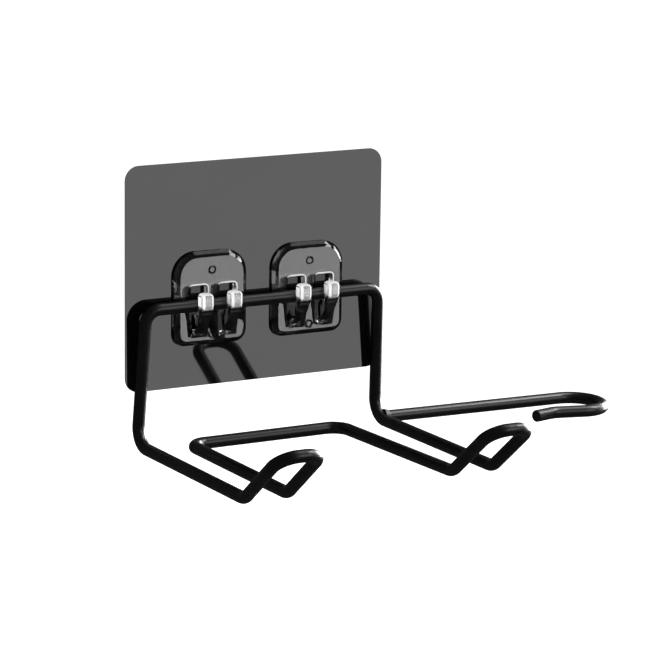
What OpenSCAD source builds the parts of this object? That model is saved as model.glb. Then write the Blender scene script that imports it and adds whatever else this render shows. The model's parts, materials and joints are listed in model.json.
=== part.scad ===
// Adhesive wall holder for a hair dryer, in millimetres.
// A glossy sheet sticks to the wall and carries two clear hook pads. The top bar of a bent-rod
// frame lies in the four hooks, so the frame swings up about that bar and lifts out of it.
// Origin: centre of the adhesive's wall face. +Z is up and -Y points away from the wall.

/* [Mounting sheet] */
// Width of the glossy sheet
sheet_w = 115.5; // [100:0.5:150]
// Height of the glossy sheet
sheet_h = 91; // [82:0.5:120]
// Corner radius of the sheet
sheet_r = 6; // [2:0.5:12]
// Thickness of the sheet
sheet_t = 0.3; // [0.2:0.05:0.6]
// Thickness of the adhesive layer behind the sheet
adhesive_t = 0.3; // [0.2:0.05:1]
// How far the adhesive stops inside the sheet's edge
adhesive_inset = 0.6; // [0:0.1:3]

/* [Hook pads] */
// Distance between the centres of the two pads
pad_pitch = 44; // [42:0.5:60]
// Width of a pad at its foot
pad_w = 32.4; // [32:0.2:40]
// Height of the pad above the top bar's axis
pad_rise = 20.8; // [17:0.2:26]
// Depth of the pad below the top bar's axis
pad_drop = 17.2; // [16.4:0.2:24]
// Radius of the pad's upper corners
pad_top_r = 10; // [7:0.5:13]
// Radius of the pad's lower corners
pad_foot_r = 5; // [3.5:0.5:8]
// Thickness of the pad
pad_t = 3.1; // [2.6:0.1:4]
// Width of the bevel around the pad's face
pad_bevel = 2.2; // [1:0.1:2.6]
// Height of the pad's square edge below the bevel
pad_edge = 0.9; // [0.4:0.1:1.5]
// Thickness of the bond that holds a pad to the sheet
bond_t = 0.2; // [0.1:0.05:0.4]
// How far the bond stops inside the pad's edge
bond_inset = 1.2; // [0.5:0.1:3]
// Diameter of the ejector marks on the pad's face
mark_d = 2.8; // [2:0.1:3.5]
// Depth of the ejector marks
mark_depth = 0.2; // [0.1:0.05:0.4]
// Height of the upper ejector mark above the bar's axis
mark_rise = 13.4; // [10:0.1:15]
// Depth of the lower ejector mark below the bar's axis
mark_drop = 12.8; // [10:0.1:14]

/* [Hooks] */
// Distance between the two hooks of a pad
hook_pitch = 12.8; // [11:0.2:15]
// Width of a hook's head
head_w = 5.4; // [4:0.1:6.5]
// Height of the head above the bar's axis
head_rise = 5.6; // [5:0.1:7]
// Depth of the head's front face below the bar's axis
head_drop = 0.8; // [0:0.1:2]
// Thickness of the hook in front of the bar
head_t = 4.5; // [3.4:0.1:5.4]
// How far the head's nose reaches back over the bar
nose_over = 1.1; // [0:0.1:1.3]
// Radius of the head's front upper edge
head_r = 2; // [1:0.1:2.5]
// Width of the hook where it leaves the pad
foot_w = 7.6; // [6:0.1:9]
// Depth of the hook's foot below the bar's axis
foot_drop = 13.5; // [12.5:0.1:15]
// Height of the foot's front face
foot_h = 2.2; // [1:0.1:3]
// How far the foot's front face stands proud of the pad
foot_step = 1.2; // [0.5:0.1:2]
// Height of the window's upper edge above the bar's axis
window_rise = 7.6; // [6:0.1:9]
// Radius of the window's upper corners
window_r = 1.4; // [0.5:0.1:2]

/* [Wire frame] */
// Diameter of the rod
rod_d = 5; // [4:0.1:5.5]
// Width of the frame over its top bar, between leg centres
bar_w = 105; // [98:1:140]
// Length of the legs
leg_l = 55.4; // [44:0.2:75]
// How far each leg spreads sideways on its way down
leg_splay = 1.8; // [0:0.1:6]
// Length of the arms along their outer rods
arm_l = 92.6; // [60:0.2:130]
// Upward slope of the arms
arm_slope = 0.5; // [0:0.1:4]
// Forward reach of the upturned tips
tip_reach = 27.2; // [18:0.2:40]
// Rise of the upturned tips
tip_rise = 21.7; // [12:0.2:32]
// Width of each arm's loop, between rod centres
loop_w = 18.1; // [17:0.1:26]
// How much wider each loop is at its rear
loop_flare = 1.8; // [0:0.1:5]
// Distance from the legs to the rear cross bar
cross_set = 6.4; // [6:0.1:14]
// How much lower than the arms the rear cross bar lies
cross_dip = 0.8; // [0:0.1:3]
// Bend radius at the top corners
top_bend_r = 6; // [4:0.5:10]
// Bend radius at the foot of the legs
leg_bend_r = 8; // [5:0.5:10]
// Bend radius where the arms turn up
front_bend_r = 9; // [5:0.5:14]
// Bend radius at the ends of the tips
tip_bend_r = 7.5; // [4:0.5:8]
// Bend radius at the ends of the rear cross bar
cross_bend_r = 7; // [4:0.5:8]

/* [Plug hook] */
// Length of the straight rod, from the arm's centre to the return bend
hook_l = 87; // [60:0.5:120]
// Radius of the return bend
hook_r = 11.8; // [9:0.2:18]
// Length of the flat in the middle of the return bend
return_flat = 1; // [0.5:0.5:20]
// Angle at which the returning rod closes on the straight one
hook_pinch = 12; // [0:1:25]
// Length of the returning rod before it flares out
return_l = 13.8; // [10:0.2:25]
// Angle by which the end flares out
hook_flare = 26; // [0:1:40]
// Radius of the flaring bend
flare_r = 9; // [5:0.5:14]
// Length of the flared end
flare_l = 11.2; // [8:0.2:20]
// Angle by which the plug hook droops
hook_droop = 0.8; // [0:0.1:3]
// How far the plug hook stands in front of the top bar's axis
hook_set = 0.9; // [0:0.1:3]
// How far the plug hook's rod sits above the arm's centre line
hook_lift = 0.3; // [0:0.1:1]
// Reach of the weld bead beyond the arm's rod
weld_reach = 1.3; // [0.8:0.1:3]
// Height of the weld bead around the plug hook's rod
weld_h = 0.8; // [0.5:0.1:2]

/* [Fits] */
// Clearance between the top bar and the pads' faces
bar_gap = 0.3; // [0.2:0.05:2]
// Height of the sheet's centre above the top bar's axis
bar_drop = 11.3; // [0:0.1:20]
// How far pads and frame sit to the right of the sheet's centre
side_shift = 1.2; // [-3:0.1:3]
// Clearance between a hook and each side of its window
window_gap = 0.4; // [0.2:0.05:1]
// Radial clearance of the top bar in the hooks
seat_gap = 0.05; // [0.02:0.01:0.1]
// Clearance of the resting legs from the wall
rest_gap = 0.3; // [0.1:0.1:1]

/* [Hidden] */
$fn = 96;

overcut = 1;
// The rod is a hair thicker in its bends, and each straight run ends inside them.
bend_swell = 0.02;
bend_lap = 0.3;
sheet_face = sheet_t + adhesive_t;
rod_r = rod_d / 2;
seat_r = rod_r + seat_gap;
// The top bar's axis stands this far off the sheet's face.
bar_off = pad_t + bar_gap + rod_r;
bar_at = [side_shift, -(sheet_face + bar_off), -bar_drop];
window_w = foot_w + 2 * window_gap;
soft_edge = 0.8;

// The legs lean back until the rod's rear comes to rest against the wall at their feet, or
// against the sheet at its lower edge, whichever it meets first.
leg_run = leg_l - leg_bend_r;
edge_run = min(leg_run, sheet_h / 2 - bar_drop);
wall_lean = asin((bar_off + sheet_face - rod_r - rest_gap) / leg_run);
edge_lean = asin((bar_off - rod_r - rest_gap) / edge_run);
leg_lean = min(wall_lean, edge_lean);

// ---- small vector helpers ----
function unit(v) = v / norm(v);
function turn(a, b) = acos(max(-1, min(1, unit(a) * unit(b))));
function mirror_x(p) = [-p[0], p[1], p[2]];
function reversed(list) = [for (i = [len(list) - 1:-1:0]) list[i]];

// Places children so that their Z runs along d and their X along s, both unit vectors.
module along(origin, s, d) {
    n = cross(d, s);
    multmatrix([[s[0], n[0], d[0], origin[0]], [s[1], n[1], d[1], origin[1]],
                [s[2], n[2], d[2], origin[2]], [0, 0, 0, 1]]) children();
}

function any_side(d) = unit(cross(d, abs(d[2]) < 0.9 ? [0, 0, 1] : [1, 0, 0]));

// A straight run from p to q. Each end that meets a bend runs on into it by its lap.
module straight(p, q, lap_p, lap_q) {
    d = unit(q - p);
    along(p - d * lap_p, any_side(d), d) cylinder(h = norm(q - p) + lap_p + lap_q, r = rod_r);
}

// A bend at corner p, entered along a and left along b, at centre-line radius r.
module bend(p, a, b, r) {
    angle = turn(a, b);
    start = p - a * r * tan(angle / 2);
    axis = unit(cross(a, b));
    inward = cross(axis, a);
    along(start + inward * r, -inward, axis)
        rotate_extrude(angle = angle) translate([r, 0]) circle(r = rod_r + bend_swell);
}

// A rod bent at each point [corner, radius]; closed joins the last point to the first.
module bent_rod(path, closed) {
    n = len(path);
    last = closed ? n - 1 : n - 2;
    corner = [for (c = path) c[0]];
    dir = [for (i = [0:n - 1]) unit(corner[(i + 1) % n] - corner[i])];
    free = [for (i = [0:n - 1]) !closed && (i == 0 || i == n - 1)];
    set = [for (i = [0:n - 1])
        free[i] ? 0 : path[i][1] * tan(turn(dir[(i + n - 1) % n], dir[i]) / 2)];
    for (i = [0:last]) let (j = (i + 1) % n)
        straight(corner[i] + dir[i] * set[i], corner[j] - dir[i] * set[j],
                 free[i] ? 0 : bend_lap, free[j] ? 0 : bend_lap);
    for (i = [closed ? 0 : 1:last]) bend(corner[i], dir[(i + n - 1) % n], dir[i], path[i][1]);
}

// ---- sheet and adhesive ----
module rounded_slab(w, h, r, t) {
    rotate([90, 0, 0]) linear_extrude(t) union() {
        square([w - 2 * r, h], center = true);
        square([w, h - 2 * r], center = true);
        for (x = [-1, 1], z = [-1, 1]) translate([x * (w / 2 - r), z * (h / 2 - r)]) circle(r = r);
    }
}

module adhesive_layer() {
    color([0.85, 0.87, 0.88])
        rounded_slab(sheet_w - 2 * adhesive_inset, sheet_h - 2 * adhesive_inset,
                     sheet_r - adhesive_inset, adhesive_t);
}

module glossy_sheet() {
    color([0.07, 0.07, 0.08])
        translate([0, -adhesive_t, 0]) rounded_slab(sheet_w, sheet_h, sheet_r, sheet_t);
}

// ---- hook pads: drawn flat, X across, Y up from the bar's axis, Z away from the sheet ----
module pad_outline(inset) {
    w = pad_w / 2 - inset;
    top = pad_rise - inset;
    foot = -pad_drop + inset;
    top_r = pad_top_r - inset;
    foot_r = pad_foot_r - inset;
    union() {
        translate([-w, foot + foot_r]) square([2 * w, top - top_r - foot - foot_r]);
        translate([-w + foot_r, foot]) square([2 * (w - foot_r), 2 * foot_r]);
        translate([-w + top_r, top - 2 * top_r]) square([2 * (w - top_r), 2 * top_r]);
        for (side = [-1, 1]) {
            translate([side * (w - top_r), top - top_r]) circle(r = top_r);
            translate([side * (w - foot_r), foot + foot_r]) circle(r = foot_r);
        }
    }
}

module pad_plate() {
    hull() {
        linear_extrude(pad_edge) pad_outline(0, $fn = 48);
        linear_extrude(pad_t - bond_t) pad_outline(pad_bevel, $fn = 48);
    }
}

// Side view of a hook: X away from the pad's back, Y up from the bar's axis.
module hook_side() {
    axis_x = bar_off - bond_t;
    face = pad_t - bond_t;
    front = axis_x + seat_r + head_t;
    nose = axis_x + seat_r - nose_over;
    difference() {
        union() {
            polygon([[0, -foot_drop], [face + foot_step, -foot_drop],
                     [face + foot_step, -foot_drop + foot_h], [front, -head_drop],
                     [front, head_rise - head_r], [front - head_r, head_rise],
                     [nose + soft_edge, head_rise], [nose, head_rise - soft_edge],
                     [nose, 0], [axis_x, -seat_r], [0, -seat_r]]);
            translate([front - head_r, head_rise - head_r]) circle(r = head_r);
        }
        translate([axis_x, 0]) circle(r = seat_r);
    }
}

// Front-to-back taper of a hook: wide at the pad, narrow at the head.
module hook_taper() {
    face = pad_t - bond_t;
    front = bar_off - bond_t + seat_r + head_t;
    chin = bar_off - bond_t + rod_r;
    reach = foot_drop + head_rise + 2 * overcut;
    translate([0, reach - foot_drop - overcut, 0]) rotate([90, 0, 0]) linear_extrude(reach)
        polygon([[-foot_w / 2, 0], [foot_w / 2, 0], [foot_w / 2, face + foot_step],
                 [head_w / 2, chin], [head_w / 2, front - soft_edge],
                 [head_w / 2 - soft_edge, front], [-head_w / 2 + soft_edge, front],
                 [-head_w / 2, front - soft_edge], [-head_w / 2, chin],
                 [-foot_w / 2, face + foot_step]]);
}

module hook() {
    intersection() {
        translate([foot_w / 2, 0, 0]) rotate([0, -90, 0]) linear_extrude(foot_w) hook_side();
        hook_taper();
    }
}

module window() {
    w = window_w / 2;
    translate([0, 0, -overcut]) linear_extrude(pad_t + 2 * overcut) union() {
        translate([-w, -seat_r]) square([window_w, window_rise - window_r + seat_r]);
        translate([-w + window_r, 0]) square([window_w - 2 * window_r, window_rise]);
        for (side = [-1, 1]) translate([side * (w - window_r), window_rise - window_r])
            circle(r = window_r);
    }
}

module hook_pad() {
    face = pad_t - bond_t;
    difference() {
        pad_plate();
        for (side = [-1, 1]) translate([side * hook_pitch / 2, 0, 0]) window();
        for (y = [mark_rise, -mark_drop])
            translate([0, y, face - mark_depth]) cylinder(h = mark_depth + overcut, d = mark_d);
    }
    for (side = [-1, 1]) translate([side * hook_pitch / 2, 0, 0]) hook();
}

// Stands a pad's flat drawing up on the sheet at side -1 or 1, lift away from its face.
module on_sheet(side, lift) {
    translate([side_shift + side * pad_pitch / 2, -sheet_face - lift, -bar_drop])
        rotate([90, 0, 0]) children();
}

module left_pad_bond() {
    color([0.8, 0.82, 0.84]) on_sheet(-1, 0) linear_extrude(bond_t) pad_outline(bond_inset);
}

module right_pad_bond() {
    color([0.8, 0.82, 0.84]) on_sheet(1, 0) linear_extrude(bond_t) pad_outline(bond_inset);
}

module left_hook_pad() {
    color([0.75, 0.78, 0.8, 0.5]) on_sheet(-1, bond_t) hook_pad();
}

module right_hook_pad() {
    color([0.75, 0.78, 0.8, 0.5]) on_sheet(1, bond_t) hook_pad();
}

// ---- wire frame ----
leg_foot = [bar_w / 2 + leg_splay, leg_l * sin(leg_lean), -leg_l * cos(leg_lean)];
arm_dir = [0, -cos(arm_slope), sin(arm_slope)];
elbow = leg_foot + arm_l * arm_dir;
tip = elbow + [0, -tip_reach, tip_rise];
tip_r = min(tip_bend_r, loop_w / 2 - bend_lap);
half_frame = [
    [[bar_w / 2, 0, 0], top_bend_r],
    [leg_foot, leg_bend_r],
    [elbow, front_bend_r],
    [tip, tip_r],
    [tip - [loop_w, 0, 0], tip_r],
    [elbow - [loop_w, 0, 0], front_bend_r],
    [leg_foot + cross_set * arm_dir - [loop_w + loop_flare, 0, cross_dip], cross_bend_r]
];
frame_path = concat(half_frame, [for (c = reversed(half_frame)) [mirror_x(c[0]), c[1]]]);

module wire_frame() {
    color([0.1, 0.1, 0.11]) translate(bar_at) bent_rod(frame_path, true);
}

// ---- plug hook: drawn flat with its root at the origin and its rod along X ----
function heading(angle) = [cos(angle), sin(angle), 0];
half_turn = (180 + hook_pinch) / 2;
bend_set = hook_r * tan(half_turn / 2);
return_heading = -2 * half_turn;
end_heading = return_heading + hook_flare;
bend_a = [hook_l + bend_set, 0, 0];
bend_b = bend_a + (2 * bend_set + return_flat) * heading(-half_turn);
flare_at = bend_b + (bend_set + return_l) * heading(return_heading);
hook_end = flare_at + (flare_l - soft_edge) * heading(end_heading);
hook_path = [[[rod_r / 2, 0, 0], 0], [bend_a, hook_r], [bend_b, hook_r], [flare_at, flare_r],
             [hook_end, 0]];

// Places the plug hook's root beside the centre line of the right arm, which still curves up
// towards the leg there.
module at_hook_root() {
    short = max(0, leg_bend_r - leg_foot[1] - hook_set);
    curve_up = leg_bend_r - sqrt(pow(leg_bend_r, 2) - pow(short, 2));
    translate(bar_at + [leg_foot[0], -hook_set, leg_foot[2] + curve_up + hook_lift])
        rotate([0, hook_droop, 0]) children();
}

// The part of the frame that the plug hook's root lies against.
module near_arm() {
    leg_dir = unit(leg_foot - half_frame[0][0]);
    translate(bar_at) bent_rod([[leg_foot - leg_dir * leg_l / 2, 0], [leg_foot, leg_bend_r],
                                [leg_foot + arm_dir * arm_l / 2, 0]], false);
}

// The rod's free end, with its rim rounded off. It laps back over the rod as a bend does.
module rounded_end() {
    r = rod_r + bend_swell;
    rotate_extrude() union() {
        translate([0, -bend_lap]) square([r, bend_lap]);
        square([r - soft_edge, soft_edge]);
        intersection() {
            translate([r - soft_edge, 0]) circle(r = soft_edge, $fn = 48);
            square([r, soft_edge]);
        }
    }
}

module plug_hook() {
    color([0.1, 0.1, 0.11]) difference() {
        at_hook_root() {
            bent_rod(hook_path, false);
            along(hook_end, [0, 0, 1], heading(end_heading)) rounded_end();
        }
        near_arm();
    }
}

module plug_hook_weld() {
    reach = rod_r + weld_reach;
    color([0.1, 0.1, 0.11]) difference() {
        at_hook_root() translate([rod_r / 2, 0, 0]) rotate([0, 90, 0])
            cylinder(h = reach - rod_r / 2, r1 = rod_r + weld_h, r2 = rod_r + 0.1);
        near_arm();
        at_hook_root() rotate([0, 90, 0]) cylinder(h = 2 * reach, r = rod_r);
    }
}

adhesive_layer();
glossy_sheet();
left_pad_bond();
right_pad_bond();
left_hook_pad();
right_hook_pad();
wire_frame();
plug_hook();
plug_hook_weld();
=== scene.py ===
"""Adhesive wall holder for a hair dryer: moulded hook pads, finishes and a plain studio."""

import json
import logging
import math
from dataclasses import dataclass
from enum import Enum
from functools import cached_property

import bmesh
import bpy
from mathutils import Matrix, Vector


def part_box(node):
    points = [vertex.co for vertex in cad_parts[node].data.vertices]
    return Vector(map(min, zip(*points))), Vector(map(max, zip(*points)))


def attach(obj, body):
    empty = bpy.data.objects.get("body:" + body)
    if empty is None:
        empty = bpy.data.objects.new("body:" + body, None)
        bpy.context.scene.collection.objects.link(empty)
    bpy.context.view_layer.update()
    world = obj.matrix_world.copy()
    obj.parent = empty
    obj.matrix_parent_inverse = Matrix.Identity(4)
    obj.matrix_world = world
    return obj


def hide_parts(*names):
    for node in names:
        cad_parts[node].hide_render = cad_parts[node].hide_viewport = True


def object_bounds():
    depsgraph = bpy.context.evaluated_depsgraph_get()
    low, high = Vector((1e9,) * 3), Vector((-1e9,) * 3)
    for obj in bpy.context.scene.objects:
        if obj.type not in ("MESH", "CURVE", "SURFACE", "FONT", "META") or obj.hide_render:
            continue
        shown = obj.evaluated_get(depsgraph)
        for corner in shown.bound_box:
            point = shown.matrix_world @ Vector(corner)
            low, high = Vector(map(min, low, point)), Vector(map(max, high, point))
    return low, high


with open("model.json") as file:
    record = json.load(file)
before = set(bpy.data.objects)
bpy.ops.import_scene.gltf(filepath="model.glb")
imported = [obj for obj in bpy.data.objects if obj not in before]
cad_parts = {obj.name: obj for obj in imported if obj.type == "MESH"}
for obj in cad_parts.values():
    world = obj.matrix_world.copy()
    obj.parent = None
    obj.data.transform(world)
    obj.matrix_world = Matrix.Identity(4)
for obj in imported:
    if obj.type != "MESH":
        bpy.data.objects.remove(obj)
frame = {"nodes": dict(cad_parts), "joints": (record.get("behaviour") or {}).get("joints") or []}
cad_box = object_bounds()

LOG = logging.getLogger("holder")
MM = 0.001
PIVOT = Vector(frame["joints"][0]["pos_m"])
WALL_BODY = "wall_plate"
SHEET_PIECES = ("glossy_sheet", "left_pad_bond", "right_pad_bond")
PAD_PIECES = ("left_pad_moulding", "right_pad_moulding")
PLUG_PIECES = ("plug_hook", "plug_hook_weld")
ROD_PIECES = ("wire_frame", *PLUG_PIECES)
# A noise pattern mostly keeps between these two values.
NOISE_LOW, NOISE_HIGH = 0.3, 0.7
# Two tones blend into each other between these two values of a noise pattern.
TONE_LOW, TONE_HIGH = 0.35, 0.65
# A wave pattern turns through this many radians in one unit of its scale.
WAVE_TURN = 20.0


class Side(Enum):
    """Which of the two pads a piece belongs to."""

    LEFT = "left"
    RIGHT = "right"


class Polish(Enum):
    """How a part of the pads' mould was finished, as the number of the pad's material."""

    CLEAR = 0
    MATT = 1
    SATIN = 2
    WAVY = 3


# ---- nodes and colours ----
def hex_rgba(code: str) -> tuple[float, float, float, float]:
    """Turns an sRGB hex colour to linear.

    Args:
        code: Six hex digits after a #.

    Returns:
        The colour as linear red, green, blue and an alpha of one.
    """
    digits = code.lstrip("#")
    channels = [int(digits[i:i + 2], 16) / 255 for i in (0, 2, 4)]
    linear = [c / 12.92 if c <= 0.04045 else ((c + 0.055) / 1.055) ** 2.4 for c in channels]
    return (*linear, 1.0)


def per_mm(size: float) -> float:
    """Returns the texture scale, per metre, that makes a pattern's features this many mm wide."""
    return 1.0 / (size * MM)


def add_node(
    tree: bpy.types.NodeTree,
    kind: str,
    settings: dict[str | int, object] | None = None,
    links: dict[str | int, bpy.types.NodeSocket] | None = None,
) -> bpy.types.Node:
    """Adds one node with its settings and links.

    Args:
        tree: The node tree that gets the node.
        kind: The node's type.
        settings: Values by input name or number, or by the node's own property name.
        links: Output sockets by the input name or number that they feed.

    Returns:
        The new node.
    """
    node = tree.nodes.new(kind)
    for name, value in (settings or {}).items():
        if isinstance(name, int) or name in node.inputs:
            node.inputs[name].default_value = value
        else:
            setattr(node, name, value)
    for name, socket in (links or {}).items():
        tree.links.new(socket, node.inputs[name])
    return node


@dataclass(frozen=True)
class Pattern:
    """A noise pattern on the piece's own coordinates.

    The size is its features' width in millimetres, the detail is the number of its finer layers,
    and the stretch multiplies the coordinates along X, Y and Z.
    """

    size: float
    detail: float
    stretch: tuple[float, float, float] = (1.0, 1.0, 1.0)

    def factor(self, tree: bpy.types.NodeTree) -> bpy.types.NodeSocket:
        """Adds the pattern to a node tree.

        Args:
            tree: The node tree.

        Returns:
            The pattern's factor socket.
        """
        place = add_node(tree, "ShaderNodeTexCoord").outputs["Object"]
        mapped = add_node(tree, "ShaderNodeMapping", {"Scale": self.stretch}, {"Vector": place})
        return add_node(
            tree, "ShaderNodeTexNoise", {"Scale": per_mm(self.size), "Detail": self.detail},
            {"Vector": mapped.outputs["Vector"]},
        ).outputs["Fac"]


# ---- finishes ----
@dataclass(frozen=True)
class Finish:
    """A finish in patches of two close tones."""

    name: str
    dark: str
    light: str
    patches: Pattern
    ior: float

    def settings(self) -> dict[str, object]:
        """Returns the shader's values that are the same all over the surface."""
        return {"IOR": self.ior, "Metallic": 0.0}

    def links(self, tree: bpy.types.NodeTree) -> dict[str, bpy.types.NodeSocket]:
        """Adds what varies over the surface.

        Args:
            tree: The node tree.

        Returns:
            Sockets by the name of the shader input that they feed.
        """
        ramp = add_node(tree, "ShaderNodeValToRGB", None, {"Fac": self.patches.factor(tree)})
        low, high = ramp.color_ramp.elements
        low.position, low.color = TONE_LOW, hex_rgba(self.dark)
        high.position, high.color = TONE_HIGH, hex_rgba(self.light)
        return {"Base Color": ramp.outputs["Color"]}

    def material(self) -> bpy.types.Material:
        """Makes the finish's material.

        Returns:
            The material, ready to be given to a piece.
        """
        made = bpy.data.materials.new(self.name)
        made.use_nodes = True
        tree = made.node_tree
        tree.nodes.clear()
        shader = add_node(tree, "ShaderNodeBsdfPrincipled", self.settings(), self.links(tree))
        add_node(tree, "ShaderNodeOutputMaterial", None, {"Surface": shader.outputs["BSDF"]})
        return made


@dataclass(frozen=True)
class TexturedFinish(Finish):
    """A finish with an uneven gloss as well, and a relief whose depth is in millimetres."""

    smooth: float
    rough: float
    gloss_patches: Pattern
    depth: float

    def height(self, tree: bpy.types.NodeTree) -> bpy.types.NodeSocket:
        """Adds the relief's height, from 0 to 1, and returns its socket."""
        raise NotImplementedError

    def under(self, tree: bpy.types.NodeTree) -> dict[str, bpy.types.NodeSocket]:
        """Returns the link to a coarser relief below this one, if there is one."""
        return {}

    def links(self, tree: bpy.types.NodeTree) -> dict[str, bpy.types.NodeSocket]:
        """Adds the two tones, the uneven gloss and the relief.

        Args:
            tree: The node tree.

        Returns:
            Sockets by the name of the shader input that they feed.
        """
        gloss = add_node(
            tree, "ShaderNodeMapRange",
            {"From Min": NOISE_LOW, "From Max": NOISE_HIGH,
             "To Min": self.smooth, "To Max": self.rough},
            {"Value": self.gloss_patches.factor(tree)},
        )
        relief = add_node(
            tree, "ShaderNodeBump", {"Strength": 1.0, "Distance": self.depth * MM},
            {"Height": self.height(tree), **self.under(tree)},
        )
        return {
            **super().links(tree),
            "Roughness": gloss.outputs["Result"],
            "Normal": relief.outputs["Normal"],
        }


@dataclass(frozen=True)
class BakedBlackPaint(TexturedFinish):
    """Mild steel rod, cold bent, then dipped and baked black: a semi-gloss coat with faint peel.

    Orange peel is about a millimetre and a half wide on a dipped coat.
    """

    name: str = "baked_black_paint"
    dark: str = "#030304"
    light: str = "#070708"
    patches: Pattern = Pattern(22, 3)
    ior: float = 1.5
    smooth: float = 0.36
    rough: float = 0.48
    gloss_patches: Pattern = Pattern(9, 4)
    peel: Pattern = Pattern(1.3, 2)
    depth: float = 0.008
    coat: float = 0.6
    coat_rough: float = 0.18

    def settings(self) -> dict[str, object]:
        """Returns the paint's values, with its glossier skin."""
        return {**super().settings(), "Coat Weight": self.coat,
                "Coat Roughness": self.coat_rough, "Coat IOR": self.ior}

    def height(self, tree: bpy.types.NodeTree) -> bpy.types.NodeSocket:
        """Adds the orange peel and returns its socket."""
        return self.peel.factor(tree)


@dataclass(frozen=True)
class GlossBlackFilm(TexturedFinish):
    """Black polyester film, calendered: a near mirror with a very slow ripple.

    A film stuck on a wall is never quite true. Its slopes, in metres per metre, turn what it
    mirrors a little.
    """

    name: str = "gloss_black_film"
    dark: str = "#030304"
    light: str = "#070708"
    patches: Pattern = Pattern(30, 2)
    ior: float = 1.62
    smooth: float = 0.02
    rough: float = 0.045
    gloss_patches: Pattern = Pattern(14, 3)
    ripple: Pattern = Pattern(38, 1)
    depth: float = 0.02
    slope_across: float = -0.018
    slope_up: float = -0.061

    def height(self, tree: bpy.types.NodeTree) -> bpy.types.NodeSocket:
        """Adds the ripple and returns its socket."""
        return self.ripple.factor(tree)

    def under(self, tree: bpy.types.NodeTree) -> dict[str, bpy.types.NodeSocket]:
        """Adds the film's slopes.

        Args:
            tree: The node tree.

        Returns:
            The link to the sloping surface under the ripple.
        """
        place = add_node(tree, "ShaderNodeTexCoord").outputs["Object"]
        rise = add_node(
            tree, "ShaderNodeVectorMath",
            {"operation": "DOT_PRODUCT", 1: (self.slope_across, 0, self.slope_up)}, {0: place},
        )
        # The rise is in metres already, so its depth is one metre.
        sloping = add_node(
            tree, "ShaderNodeBump", {"Strength": 1.0, "Distance": 1.0},
            {"Height": rise.outputs["Value"]},
        )
        return {"Normal": sloping.outputs["Normal"]}


@dataclass(frozen=True)
class ClearPolycarbonate(TexturedFinish):
    """Injection-moulded clear polycarbonate: glassy, with faint flow lines from the gate."""

    name: str = "clear_polycarbonate"
    dark: str = "#f8fafb"
    light: str = "#ffffff"
    patches: Pattern = Pattern(6, 2)
    ior: float = 1.55
    smooth: float = 0.01
    rough: float = 0.035
    gloss_patches: Pattern = Pattern(3, 3)
    flow: float = 2.2
    depth: float = 0.0008
    clear: float = 1.0

    def settings(self) -> dict[str, object]:
        """Returns the plastic's values."""
        return {**super().settings(), "Transmission Weight": self.clear}

    def height(self, tree: bpy.types.NodeTree) -> bpy.types.NodeSocket:
        """Adds the flow lines, four times longer upwards than across, and returns their socket."""
        return Pattern(self.flow, 2, (1.0, 1.0, 0.25)).factor(tree)


@dataclass(frozen=True)
class MattPolycarbonate(ClearPolycarbonate):
    """The same plastic off a spark-eroded part of the mould: frosted, so it catches the light."""

    name: str = "matt_polycarbonate"
    smooth: float = 0.42
    rough: float = 0.6
    flow: float = 0.5
    depth: float = 0.01
    clear: float = 0.45


@dataclass(frozen=True)
class SatinPolycarbonate(MattPolycarbonate):
    """The same plastic off a half-polished part of the mould: a cloudy, greyer see-through."""

    name: str = "satin_polycarbonate"
    smooth: float = 0.12
    rough: float = 0.3
    clear: float = 0.82


@dataclass(frozen=True)
class WavyPolycarbonate(ClearPolycarbonate):
    """The same plastic where it cooled thick and unevenly: sunken waves that break up the light."""

    name: str = "wavy_polycarbonate"
    flow: float = 1.7
    depth: float = 0.11


@dataclass(frozen=True)
class BondFilm(TexturedFinish):
    """Clear acrylic tape, rolled on over the black film: it wets out dark, with a soft gloss."""

    name: str = "acrylic_bond_film"
    dark: str = "#070708"
    light: str = "#0e0e10"
    patches: Pattern = Pattern(3, 3)
    ior: float = 1.47
    smooth: float = 0.03
    rough: float = 0.06
    gloss_patches: Pattern = Pattern(2, 2)
    waviness: Pattern = Pattern(4, 1)
    depth: float = 0.0008

    def height(self, tree: bpy.types.NodeTree) -> bpy.types.NodeSocket:
        """Adds the rolled tape's waviness and returns its socket."""
        return self.waviness.factor(tree)


@dataclass(frozen=True)
class ReusableGel(TexturedFinish):
    """Acrylic gel adhesive, cast with crossed air channels: pale, tacky and slightly uneven.

    The channels' spacing is in millimetres.
    """

    name: str = "cast_gel_adhesive"
    dark: str = "#c9cdcf"
    light: str = "#e3e6e7"
    patches: Pattern = Pattern(18, 3)
    ior: float = 1.47
    smooth: float = 0.3
    rough: float = 0.45
    gloss_patches: Pattern = Pattern(7, 2)
    spacing: float = 10.053
    depth: float = 0.03

    def height(self, tree: bpy.types.NodeTree) -> bpy.types.NodeSocket:
        """Adds the two crossed sets of channels.

        Args:
            tree: The node tree.

        Returns:
            The lower of the two heights.
        """
        place = add_node(tree, "ShaderNodeTexCoord").outputs["Object"]
        waves = []
        for turn in (45, -45):
            turned = add_node(
                tree, "ShaderNodeMapping", {"Rotation": (0, math.radians(turn), 0)},
                {"Vector": place},
            )
            wave = add_node(
                tree, "ShaderNodeTexWave",
                {"wave_type": "BANDS", "bands_direction": "X",
                 "Scale": math.tau * per_mm(self.spacing) / WAVE_TURN},
                {"Vector": turned.outputs["Vector"]},
            )
            waves.append(wave.outputs["Fac"])
        return add_node(
            tree, "ShaderNodeMath", {"operation": "MINIMUM"}, {0: waves[0], 1: waves[1]}
        ).outputs["Value"]


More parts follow.
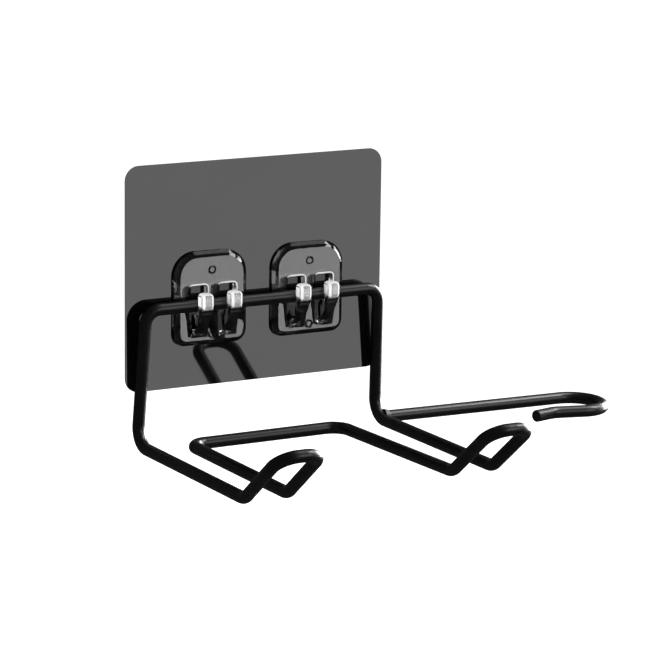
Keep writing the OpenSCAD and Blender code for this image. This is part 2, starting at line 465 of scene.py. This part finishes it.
@dataclass(frozen=True)
class MattWhitePaint(Finish):
    """Rolled matt white paint of the studio floor: even, chalky and lit a little from within."""

    name: str = "matt_white_floor"
    dark: str = "#f4f4f4"
    light: str = "#fbfbfb"
    patches: Pattern = Pattern(400, 2)
    ior: float = 1.5
    rough: float = 0.9
    glow: float = 0.25

    def settings(self) -> dict[str, object]:
        """Returns the paint's values."""
        return {**super().settings(), "Roughness": self.rough, "Emission Strength": self.glow,
                "Emission Color": hex_rgba("#ffffff")}


# ---- mesh helpers ----
def object_from(bm: bmesh.types.BMesh, name: str) -> bpy.types.Object:
    """Turns a bmesh into an object at the origin and frees the bmesh.

    Args:
        bm: The finished bmesh.
        name: The object's name.

    Returns:
        The linked object.
    """
    bmesh.ops.recalc_face_normals(bm, faces=bm.faces[:])
    mesh = bpy.data.meshes.new(name)
    bm.to_mesh(mesh)
    bm.free()
    made = bpy.data.objects.new(name, mesh)
    bpy.context.scene.collection.objects.link(made)
    return made


def block(low: Vector, high: Vector) -> bmesh.types.BMesh:
    """Makes a box between two corners.

    Args:
        low: Lowest corner.
        high: Highest corner.

    Returns:
        A bmesh of six faces.
    """
    bm = bmesh.new()
    bmesh.ops.create_cube(bm, size=1.0)
    bmesh.ops.scale(bm, vec=high - low, verts=bm.verts[:])
    bmesh.ops.translate(bm, vec=(high + low) / 2, verts=bm.verts[:])
    return bm


def edges_along_y(bm: bmesh.types.BMesh, height: float) -> list[bmesh.types.BMEdge]:
    """Finds the edges that run front to back at a height.

    Args:
        bm: The bmesh.
        height: The height in metres.

    Returns:
        The edges.
    """
    near = MM / 10
    return [e for e in bm.edges
            if all(abs(v.co.z - height) < near for v in e.verts)
            and abs(e.verts[0].co.x - e.verts[1].co.x) < near]


def round_edges(
    bm: bmesh.types.BMesh, edges: list[bmesh.types.BMEdge], radius: float, steps: int
) -> None:
    """Rounds edges to a circular fillet.

    Args:
        bm: The bmesh.
        edges: The edges to round.
        radius: Fillet radius in metres.
        steps: Number of faces across the fillet.
    """
    bmesh.ops.bevel(
        bm, geom=edges, offset=radius, offset_type="OFFSET", affect="EDGES",
        segments=steps, profile=0.5, material=-1, clamp_overlap=True,
    )


def settle(piece: bpy.types.Object) -> None:
    """Replaces an object's mesh by its evaluated one and drops its modifiers.

    Args:
        piece: The object.
    """
    evaluated = piece.evaluated_get(bpy.context.evaluated_depsgraph_get())
    mesh = bpy.data.meshes.new_from_object(evaluated)
    piece.modifiers.clear()
    old, piece.data = piece.data, mesh
    bpy.data.meshes.remove(old)


def combine(piece: bpy.types.Object, tool: bpy.types.Object, operation: str) -> None:
    """Joins or cuts a piece with a tool object, then deletes the tool.

    Args:
        piece: The piece that changes.
        tool: The object added or taken away.
        operation: UNION or DIFFERENCE.
    """
    step = piece.modifiers.new("combine", "BOOLEAN")
    step.operation, step.solver, step.object = operation, "MANIFOLD", tool
    settle(piece)
    bpy.data.objects.remove(tool)


def smooth(piece: bpy.types.Object, angle: float) -> None:
    """Shades a piece smooth, with edges sharper than the angle kept crisp.

    Args:
        piece: The piece.
        angle: Angle in degrees.
    """
    for polygon in piece.data.polygons:
        polygon.use_smooth = True
    piece.data.set_sharp_from_angle(angle=math.radians(angle))


def dress(piece: bpy.types.Object, material: bpy.types.Material) -> None:
    """Gives a piece one material in place of what it had, and reports it.

    Args:
        piece: The piece.
        material: Its new finish.
    """
    piece.data.materials.clear()
    piece.data.materials.append(material)
    LOG.info("%s: %s", piece.name, material.name)


# ---- the holder ----
@dataclass
class MountingSheet:
    """The glossy sheet, its adhesive and the two bonds under the pads, in the CAD's shapes."""

    film: GlossBlackFilm = GlossBlackFilm()
    gel: ReusableGel = ReusableGel()
    bond: BondFilm = BondFilm()

    def dress(self) -> None:
        """Gives the sheet, the adhesive and the bonds their finishes."""
        nodes = frame["nodes"]
        dress(nodes["glossy_sheet"], self.film.material())
        dress(nodes["adhesive_layer"], self.gel.material())
        bond = self.bond.material()
        for side in Side:
            dress(nodes[f"{side.value}_pad_bond"], bond)


@dataclass
class HookPad:
    """One clear moulded pad with its two hooks. Sizes in millimetres, angles in degrees.

    Heights are above the top bar's axis and depths are in front of the pad's back.
    """

    side: Side
    # The plate and its rim. Each step is a share of the rim's run and of its climb, edge first.
    width: float = 32.4
    rise: float = 20.8
    drop: float = 17.2
    top_radius: float = 10.0
    foot_radius: float = 5.0
    edge: float = 0.9
    face: float = 2.9
    rim: float = 2.2
    rim_steps: tuple[tuple[float, float], ...] = ((0.50, 0.62), (0.10, 0.04), (0.40, 0.34))
    air_gap: float = 0.04
    # The windows, one over each hook, and how far their cutters reach past the plastic.
    hook_pitch: float = 12.8
    window_width: float = 8.4
    window_rise: float = 7.6
    window_radius: float = 1.4
    cutter_reach: float = 1.0
    # The ribs along the windows' top and right, their root in the plate and their left end.
    rib: float = 0.55
    rib_height: float = 0.5
    rib_foot: float = 3.0
    rib_root: float = 0.3
    rib_start: float = 0.15
    # The ejector marks.
    mark_diameter: float = 2.8
    mark_depth: float = 0.42
    mark_rise: float = 13.4
    mark_drop: float = 12.8
    # The seat of the top bar. Its cutter is this many times as long as the pad is wide.
    seat_radius: float = 2.55
    seat_run: float = 1.2
    bar_depth: float = 5.7
    # The hooks' arms, and how far below the seat's top they end inside the heads.
    arm_root: float = 0.5
    arm_lap: float = 1.0
    foot_width: float = 7.6
    foot_drop: float = 13.5
    foot_height: float = 2.2
    foot_front: float = 4.1
    neck_width: float = 4.8
    taper_end: float = 8.2
    # The hooks' heads.
    head_width: float = 5.4
    head_rise: float = 5.6
    head_drop: float = 0.8
    head_front: float = 12.75
    head_back: float = 7.15
    head_step: float = 0.9
    head_edge: float = 1.7
    # The bevel of the small edges, and the angle past which an edge stays crisp. The bevel's clamp
    # cuts its width to next to nothing here, so it changes how the edges shade, not their shape.
    soften: float = 0.28
    soften_angle: float = 32.0
    crisp_angle: float = 40.0
    # Where one finish of the mould ends and the next starts.
    skin: float = 0.02
    flank_inset: float = 0.08
    margin: float = 0.1
    rib_margin: float = 1.0
    # How far a normal points across or up before its face counts as a flank, a side or a top.
    flank: float = 0.9
    sideways: float = 0.3
    upwards: float = 0.75

    @property
    def node(self) -> str:
        """Name of the CAD node that this pad stands for."""
        return f"{self.side.value}_hook_pad"

    @cached_property
    def back_middle(self) -> Vector:
        """Middle of the pad's back, level with the top bar's axis, in metres."""
        low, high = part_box(self.node)
        return Vector(((low.x + high.x) / 2, high.y, PIVOT.z))

    def place(self, across: float, depth: float, height: float) -> Vector:
        """Turns a pad position to the shared frame.

        Args:
            across: Millimetres to the right of the pad's middle.
            depth: Millimetres in front of the pad's back.
            height: Millimetres above the top bar's axis.

        Returns:
            The place in metres.
        """
        return self.back_middle + Vector((across, -depth, height)) * MM

    def plate(self) -> bpy.types.Object:
        """Moulds the plate: rounded corners, a square edge, then a stepped sloping rim.

        Returns:
            The plate.
        """
        half = self.width / 2
        low = self.place(-half, self.edge, -self.drop)
        high = self.place(half, self.air_gap, self.rise)
        bm = block(low, high)
        round_edges(bm, edges_along_y(bm, high.z), self.top_radius * MM, steps=20)
        round_edges(bm, edges_along_y(bm, low.z), self.foot_radius * MM, steps=14)
        front = min(bm.faces, key=lambda f: f.calc_center_median().y)
        rises = self.face - self.edge
        for run, climb in self.rim_steps:
            bmesh.ops.inset_region(
                bm, faces=[front], thickness=self.rim * run * MM, depth=0.0,
                use_boundary=True, use_even_offset=True,
            )
            bmesh.ops.translate(bm, vec=(0, -rises * climb * MM, 0), verts=front.verts[:])
        return object_from(bm, f"{self.side.value}_pad_moulding")

    def window(self, across: float) -> bpy.types.Object:
        """Makes the cutter of one window.

        Args:
            across: Where the window's middle is.

        Returns:
            The cutter.
        """
        half = self.window_width / 2
        high = self.place(across + half, -self.cutter_reach, self.window_rise)
        bm = block(
            self.place(across - half, self.face + self.cutter_reach, -self.seat_radius), high
        )
        round_edges(bm, edges_along_y(bm, high.z), self.window_radius * MM, steps=6)
        return object_from(bm, "window_cutter")

    def window_frame(self, across: float) -> bpy.types.Object:
        """Moulds the raised rib round the upper part of one window, clear of the top bar.

        Args:
            across: Where the window's middle is.

        Returns:
            The rib, still filled in the middle.
        """
        half = self.window_width / 2
        low = self.place(
            across - half + self.rib_start, self.face + self.rib_height, self.rib_foot
        )
        high = self.place(
            across + half + self.rib, self.face - self.rib_root, self.window_rise + self.rib
        )
        bm = block(low, high)
        radius = (self.window_radius + self.rib) * MM
        round_edges(bm, edges_along_y(bm, high.z), radius, steps=6)
        return object_from(bm, "window_frame")

    def mark(self, height: float) -> bpy.types.Object:
        """Makes the cutter of one ejector mark: a V-shaped ring groove.

        Args:
            height: The mark's height.

        Returns:
            The cutter.
        """
        bm = bmesh.new()
        middle = self.place(0, self.face, height)
        start = Matrix.Translation(middle + Vector((self.mark_diameter / 2 * MM, 0, 0)))
        groove = bmesh.ops.create_circle(
            bm, cap_ends=False, segments=4, radius=self.mark_depth * MM, matrix=start
        )["verts"]
        bmesh.ops.spin(
            bm, geom=groove + bm.edges[:], cent=middle, axis=(0, 1, 0),
            angle=math.radians(360), steps=48, use_merge=True,
        )
        return object_from(bm, "mark_cutter")

    def arm(self, across: float) -> bpy.types.Object:
        """Moulds one hook's sloping arm, wide at the foot and ending inside the head.

        Args:
            across: Where the hook's middle is.

        Returns:
            The arm, with its seat not yet cut.
        """
        top, front = self.seat_radius - self.arm_lap, self.head_front - self.head_step
        outline = [
            (self.arm_root, -self.foot_drop), (self.foot_front, -self.foot_drop),
            (self.foot_front, -self.foot_drop + self.foot_height),
            (front, -self.head_drop), (front, top), (self.bar_depth, top),
            (self.bar_depth, -self.seat_radius), (self.arm_root, -self.seat_radius),
        ]
        bm = bmesh.new()
        start = across - self.foot_width / 2
        verts = [bm.verts.new(self.place(start, d, h)) for d, h in outline]
        side = bmesh.ops.contextual_create(bm, geom=verts)["faces"][0]
        pushed = bmesh.ops.extrude_face_region(bm, geom=[side])
        moved = [g for g in pushed["geom"] if isinstance(g, bmesh.types.BMVert)]
        bmesh.ops.translate(bm, vec=(self.foot_width * MM, 0, 0), verts=moved)
        back = self.back_middle.y
        for depth in (self.foot_front, self.taper_end):
            bmesh.ops.bisect_plane(
                bm, geom=bm.verts[:] + bm.edges[:] + bm.faces[:],
                plane_co=(0, back - depth * MM, 0), plane_no=(0, 1, 0),
            )
        middle = self.place(across, 0, 0).x
        for vert in bm.verts:
            depth = (back - vert.co.y) / MM
            share = min(max((depth - self.foot_front) / (self.taper_end - self.foot_front), 0), 1)
            wide = self.foot_width + share * (self.neck_width - self.foot_width)
            vert.co.x = middle + (vert.co.x - middle) * wide / self.foot_width
        return object_from(bm, "hook_arm")

    def head(self, across: float) -> bpy.types.Object:
        """Moulds one hook's head: a block with every edge well rounded.

        Args:
            across: Where the hook's middle is.

        Returns:
            The head.
        """
        half = self.head_width / 2
        bm = block(self.place(across - half, self.head_front, -self.head_drop),
                   self.place(across + half, self.head_back, self.head_rise))
        round_edges(bm, bm.edges[:], self.head_edge * MM, steps=6)
        return object_from(bm, "hook_head")

    def seat(self) -> bpy.types.Object:
        """Makes the cutter of the round seat that the top bar lies in.

        Returns:
            The cutter.
        """
        bm = bmesh.new()
        turn = Matrix.Rotation(math.radians(90), 4, "Y")
        at = Matrix.Translation(self.place(0, self.bar_depth, 0))
        bmesh.ops.create_cone(
            bm, cap_ends=True, segments=96, radius1=self.seat_radius * MM,
            radius2=self.seat_radius * MM, depth=self.width * self.seat_run * MM,
            matrix=at @ turn,
        )
        return object_from(bm, "seat_cutter")

    def polish_of(self, centre: Vector, normal: Vector) -> Polish:
        """Chooses a face's finish: glassy plate, wavy arms, matt sides and ribs, satin heads.

        Args:
            centre: The face's centre.
            normal: The face's normal.

        Returns:
            How the mould was finished there.
        """
        depth = (self.back_middle.y - centre.y) / MM
        height = (centre.z - self.back_middle.z) / MM
        beside = abs(abs(centre.x - self.back_middle.x) / MM - self.hook_pitch / 2)
        arm_side = (abs(normal.x) > self.flank
                    and beside < self.head_width / 2 - self.flank_inset)
        head = (depth > self.head_back - self.margin
                and height > -self.head_drop - self.margin)
        if head and not arm_side:
            turned = abs(normal.x) > self.sideways or normal.z > self.upwards
            return Polish.MATT if turned else Polish.SATIN
        rib = (self.face + self.skin < depth < self.face + self.rib_height + self.skin
               and self.rib_foot - self.margin < height < self.window_rise + self.rib_margin)
        if rib:
            return Polish.MATT
        return Polish.WAVY if depth > self.face + self.skin else Polish.CLEAR

    def frost(self, pad: bpy.types.Object, finishes: dict[Polish, bpy.types.Material]) -> None:
        """Gives each face its finish.

        Args:
            pad: The pad.
            finishes: The pad's materials.
        """
        pad.data.materials.clear()
        for polish in Polish:
            pad.data.materials.append(finishes[polish])
        for polygon in pad.data.polygons:
            polygon.material_index = self.polish_of(polygon.center, polygon.normal).value

    def build(self, finishes: dict[Polish, bpy.types.Material]) -> None:
        """Moulds the pad with its windows, marks and hooks, and mounts it.

        Args:
            finishes: The pad's materials.
        """
        pad = self.plate()
        for across in (-self.hook_pitch / 2, self.hook_pitch / 2):
            combine(pad, self.window_frame(across), "UNION")
            combine(pad, self.window(across), "DIFFERENCE")
        for across in (-self.hook_pitch / 2, self.hook_pitch / 2):
            combine(pad, self.arm(across), "UNION")
            combine(pad, self.head(across), "UNION")
        combine(pad, self.seat(), "DIFFERENCE")
        soften = pad.modifiers.new("soften", "BEVEL")
        soften.width, soften.segments, soften.limit_method = self.soften * MM, 3, "ANGLE"
        soften.angle_limit = math.radians(self.soften_angle)
        soften.use_clamp_overlap = True
        settle(pad)
        # The marks come after the bevel, so that their fine grooves keep their own shading.
        for height in (self.mark_rise, -self.mark_drop):
            combine(pad, self.mark(height), "DIFFERENCE")
        smooth(pad, self.crisp_angle)
        level = pad.modifiers.new("level", "WEIGHTED_NORMAL")
        level.mode, level.weight, level.keep_sharp = "FACE_AREA", 100, True
        settle(pad)
        self.frost(pad, finishes)
        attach(pad, WALL_BODY)
        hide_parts(self.node)
        LOG.info("%s: %d faces", pad.name, len(pad.data.polygons))


@dataclass
class RodCradle:
    """The bent-rod frame with its plug hook and weld, in the CAD's shapes."""

    paint: BakedBlackPaint = BakedBlackPaint()

    def dress(self) -> None:
        """Paints the three welded pieces in one coat."""
        coat = self.paint.material()
        for name in ROD_PIECES:
            dress(frame["nodes"][name], coat)


# ---- studio ----
@dataclass
class Softbox:
    """One square area light, aimed at the object's middle.

    Its place and size are in metres, the place from the object's middle. It lights the named
    pieces, or all where none is named. It may be left out of mirror images and of what shows
    through the clear plastic.
    """

    name: str
    place: tuple[float, float, float]
    size: float
    radiance: float
    lights: tuple[str, ...] = ()
    mirrored: bool = True
    seen_through: bool = True

    def build(self, middle: Vector) -> None:
        """Hangs the light and flags it off from all but its own pieces.

        Args:
            middle: The object's middle.
        """
        lamp = bpy.data.lights.new(self.name, "AREA")
        lamp.shape, lamp.size = "SQUARE", self.size
        # A diffuse emitter of area A and radiance L gives pi * A * L watts.
        lamp.energy = self.radiance * math.pi * self.size ** 2
        light = bpy.data.objects.new(self.name, lamp)
        light.location = middle + Vector(self.place)
        light.rotation_mode = "QUATERNION"
        light.rotation_quaternion = (-Vector(self.place)).to_track_quat("-Z", "Y")
        light.visible_glossy = self.mirrored
        light.visible_transmission = self.seen_through
        bpy.context.scene.collection.objects.link(light)
        if self.lights:
            lit = bpy.data.collections.new(f"{self.name}_lit")
            for name in self.lights:
                lit.objects.link(bpy.data.objects[name])
            light.light_linking.receiver_collection = lit


# The sheet, the pads and the rods each have a front light of their own strength.
SOFTBOXES = (
    Softbox("front_softbox", (0.42, -0.76, -0.12), 0.5, 1.9, lights=SHEET_PIECES),
    Softbox("pad_softbox", (0.46, -0.84, -0.13), 0.55, 4.0, lights=PAD_PIECES,
            seen_through=False),
    Softbox("fill_softbox", (0.5, -0.9, 0.3), 0.6, 1.4, lights=ROD_PIECES),
    Softbox("top_softbox", (0.52, 0.0, 0.95), 0.6, 1.2),
    Softbox("plug_softbox", (0.55, -0.05, 0.95), 0.6, 1.8, lights=PLUG_PIECES),
    Softbox("key_softbox", (0.8, -0.17, 0.75), 0.4, 8.0),
    Softbox("right_softbox", (1.05, 0.3, 0.1), 0.8, 12.0, seen_through=False),
    Softbox("left_softbox", (-1.1, -0.05, 0.2), 0.5, 15.0, lights=PAD_PIECES,
            mirrored=False, seen_through=False),
)


@dataclass
class Studio:
    """Plain pale floor, soft lights and the camera. Lengths in metres, angles in degrees.

    The lens and the sensor are in millimetres. The mirror and glass levels are how bright the
    surroundings look in reflections and through the clear plastic.
    """

    floor_drop: float = 0.30
    floor_size: float = 40.0
    mirror_level: float = 0.04
    glass_level: float = 0.22
    azimuth: float = -29.0
    elevation: float = 12.36
    roll: float = 0.75
    distance: float = 1.2987
    lens: float = 179.47
    sensor: float = 36.0
    nearest: float = 0.05
    farthest: float = 200.0
    aim: tuple[float, float, float] = (0.0203, -0.0138, -0.0099)

    def camera(self) -> None:
        """Sets the camera up: azimuth 0 looks along +Y, elevation is above the horizon."""
        az, el, roll = (math.radians(a) for a in (self.azimuth, self.elevation, self.roll))
        back = Vector((math.sin(az) * math.cos(el), -math.cos(az) * math.cos(el), math.sin(el)))
        right = Vector((math.cos(az), math.sin(az), 0))
        above = back.cross(right)
        across = right * math.cos(roll) + above * math.sin(roll)
        upward = above * math.cos(roll) - right * math.sin(roll)
        data = bpy.data.cameras.new("camera")
        data.sensor_width, data.lens = self.sensor, self.lens
        data.clip_start, data.clip_end = self.nearest, self.farthest
        camera = bpy.data.objects.new("camera", data)
        turn = Matrix((across, upward, back)).transposed().to_4x4()
        place = PIVOT + Vector(self.aim) + back * self.distance
        camera.matrix_world = Matrix.Translation(place) @ turn
        bpy.context.scene.collection.objects.link(camera)
        bpy.context.scene.camera = camera

    def floor(self) -> None:
        """Lays the pale floor below the object, out of its mirror images and its clear plastic."""
        bm = bmesh.new()
        bmesh.ops.create_grid(bm, x_segments=1, y_segments=1, size=self.floor_size / 2)
        bmesh.ops.translate(
            bm, vec=(0, 0, cad_box[0].z - self.floor_drop), verts=bm.verts[:]
        )
        floor = object_from(bm, "floor")
        dress(floor, MattWhitePaint().material())
        floor.visible_glossy = False
        floor.visible_transmission = False

    def world(self) -> None:
        """Surrounds the object with white for the eye and dim grey for mirrors and glass."""
        world = bpy.data.worlds.new("studio")
        bpy.context.scene.world = world
        world.use_nodes = True
        tree = world.node_tree
        tree.nodes.clear()
        path = add_node(tree, "ShaderNodeLightPath")
        levels = [
            add_node(
                tree, "ShaderNodeMapRange", {"To Min": 1.0, "To Max": level},
                {"Value": path.outputs[ray]},
            ).outputs["Result"]
            for ray, level in (("Is Glossy Ray", self.mirror_level),
                               ("Is Transmission Ray", self.glass_level))
        ]
        level = add_node(
            tree, "ShaderNodeMath", {"operation": "MINIMUM"}, {0: levels[0], 1: levels[1]}
        )
        sky = add_node(
            tree, "ShaderNodeBackground", {"Color": (1, 1, 1, 1)},
            {"Strength": level.outputs["Value"]},
        )
        add_node(tree, "ShaderNodeOutputWorld", None, {"Surface": sky.outputs["Background"]})

    def build(self) -> None:
        """Builds the whole studio."""
        self.camera()
        self.floor()
        self.world()
        middle = (cad_box[0] + cad_box[1]) / 2
        for box in SOFTBOXES:
            box.build(middle)
        bpy.context.scene.view_settings.view_transform = "Standard"
        LOG.info("studio: %d softboxes", len(SOFTBOXES))


def main() -> None:
    """Builds the holder and the studio."""
    logging.basicConfig(level=logging.INFO, format="%(name)s: %(message)s")
    MountingSheet().dress()
    finishes = {
        Polish.CLEAR: ClearPolycarbonate().material(),
        Polish.MATT: MattPolycarbonate().material(),
        Polish.SATIN: SatinPolycarbonate().material(),
        Polish.WAVY: WavyPolycarbonate().material(),
    }
    for side in Side:
        HookPad(side).build(finishes)
    RodCradle().dress()
    Studio().build()


if __name__ == "__main__":
    main()
